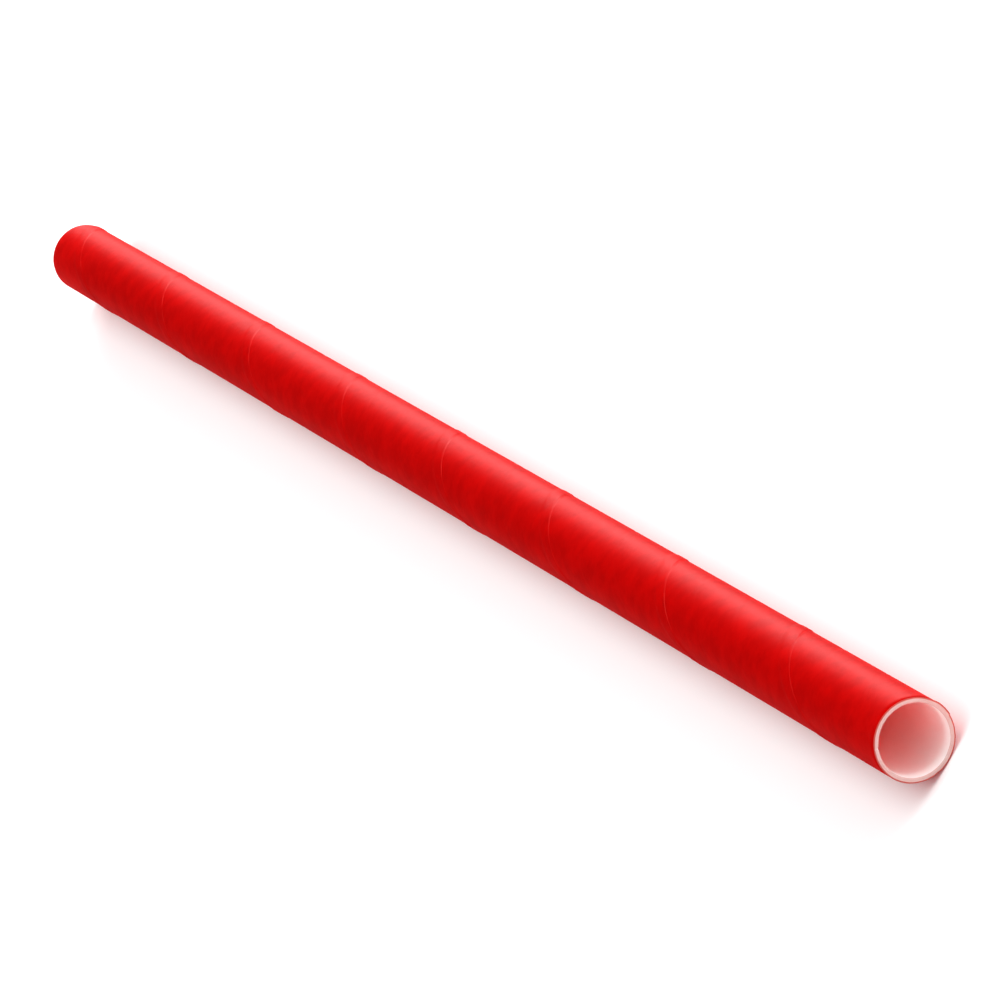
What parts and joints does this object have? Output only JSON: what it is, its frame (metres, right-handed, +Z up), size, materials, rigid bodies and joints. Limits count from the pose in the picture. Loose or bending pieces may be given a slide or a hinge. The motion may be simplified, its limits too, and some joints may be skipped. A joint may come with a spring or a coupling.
{
  "type": "paper drinking straw",
  "caption": "Straight paper drinking straw, plain red outside and white inside. A spirally wound paper tube with a fine lapped seam, open right through and cut square at its ends.",
  "frame": {"origin": "under the middle of the straw, on the surface it lies on", "axes": "+X along the straw, +Z up from the surface it lies on"},
  "size_m": [0.197, 0.006, 0.0061],
  "materials": {
    "red_paper": "matte"
  },
  "bodies": {
    "root": {"paper_straw": "red_paper"}
  },
  "joints": []
}
